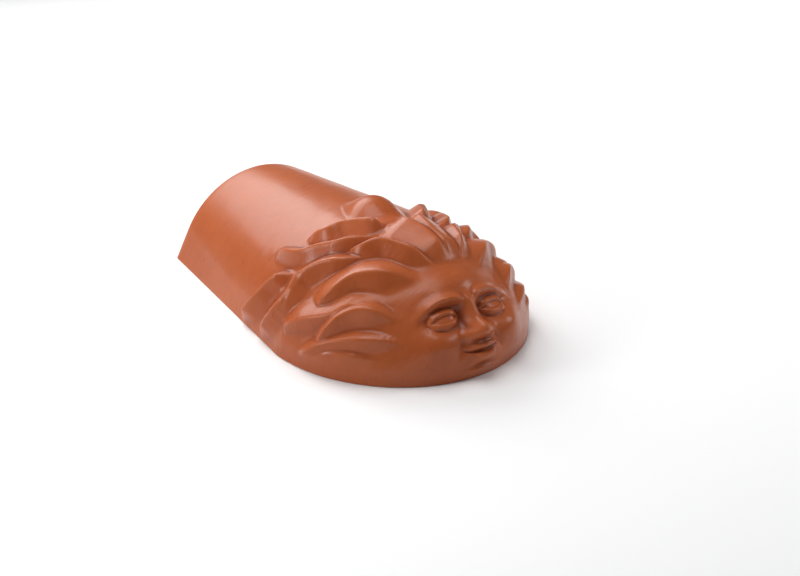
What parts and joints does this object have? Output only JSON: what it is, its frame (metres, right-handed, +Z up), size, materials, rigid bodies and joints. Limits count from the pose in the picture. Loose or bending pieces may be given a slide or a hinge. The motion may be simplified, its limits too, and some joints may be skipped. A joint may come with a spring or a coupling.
{
  "type": "decorative ridge tile",
  "caption": "Half-round fired-clay ridge or hip-end tile: a tapered hollow barrel closed at the front by a domed head with a calm mask face and locks swept back over the barrel.",
  "frame": {"origin": "centre of the whole length and width, on the plane the underside rims stand on", "axes": "+Z up, -Y the way the face looks, +Y towards the plain end that the next tile covers, +X the right side seen from behind the head"},
  "size_m": [0.272, 0.409, 0.1204],
  "materials": {
    "engobed_clay": "satin red-brown engobe on fired clay, faintly brushed, shinier on the crests"
  },
  "bodies": {
    "root": {"ridge_tile": "engobed_clay"}
  },
  "joints": []
}
